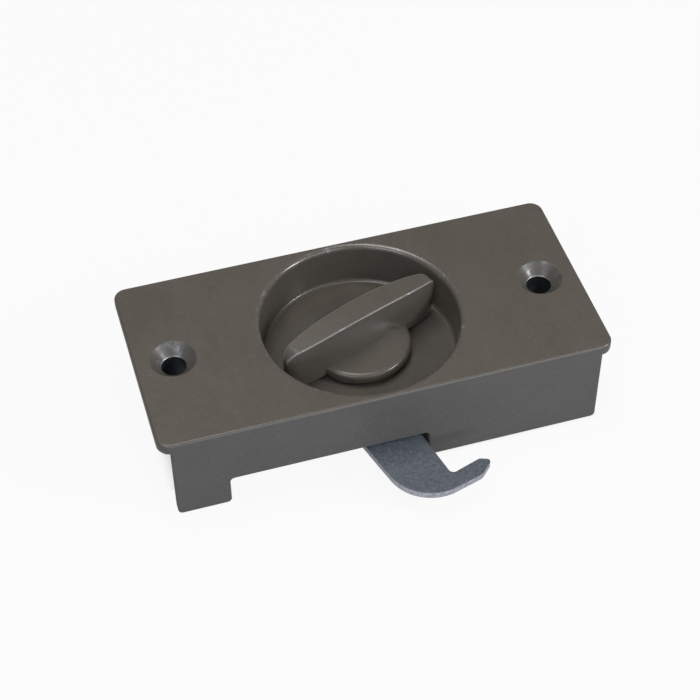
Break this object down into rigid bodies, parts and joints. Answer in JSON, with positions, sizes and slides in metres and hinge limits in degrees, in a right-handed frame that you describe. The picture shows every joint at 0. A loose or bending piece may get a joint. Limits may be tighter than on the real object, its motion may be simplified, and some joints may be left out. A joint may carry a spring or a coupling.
{
  "type": "sliding screen door latch",
  "caption": "Flush sliding screen door latch: a face plate with a round cup and a turn knob, whose spindle swings a flat steel hook out through a notch in the wall behind the plate.",
  "frame": {"origin": "midway between the two fixing holes, on the knob's axis, in the plane of the face plate's underside", "axes": "+X along the face plate towards its plain end, +Z out of the face plate along the knob's axis, and the hook comes out towards -Y"},
  "size_m": [0.0842, 0.0528, 0.0215],
  "materials": {
    "bronze_paint": "semi-gloss bronze paint over a zinc die casting",
    "knob_paint": "semi-gloss bronze paint over a zinc die casting",
    "zinc_plate": "clear zinc plating on pressed steel, with lighter sheared edges",
    "turned_steel": "turned steel, zinc plated",
    "pin_steel": "ground steel pins",
    "screw_steel": "zinc plated steel screws",
    "plate_steel": "zinc plated pressed steel",
    "spring_steel": "bright spring steel",
    "clip_steel": "phosphated spring steel",
    "cam_zinc": "bare zinc die casting",
    "bush_plastic": "off-white moulded plastic"
  },
  "bodies": {
    "case": {"housing": "bronze_paint", "spindle_bush": "bush_plastic", "wave_washer": "spring_steel", "detent_spring": "spring_steel", "spring_pin_left": "pin_steel", "spring_pin_right": "pin_steel", "bearing_plate": "plate_steel", "plate_screw_front": "screw_steel", "plate_screw_back": "screw_steel", "plate_screw_left": "screw_steel", "stop_pin_locked": "pin_steel", "stop_pin_open": "pin_steel"},
    "turning_parts": {"turn_knob": "knob_paint", "spindle": "turned_steel", "hook": "zinc_plate", "detent_cam": "cam_zinc", "shim_washer": "plate_steel", "retaining_clip": "clip_steel"}
  },
  "joints": [
    {"name": "turn", "type": "hinge", "parent": "case", "child": "turning_parts", "pos_m": [0, 0, 0], "axis": [0, 0, 1], "range_deg": [-90, 0], "deforming": ["detent_spring"]}
  ]
}
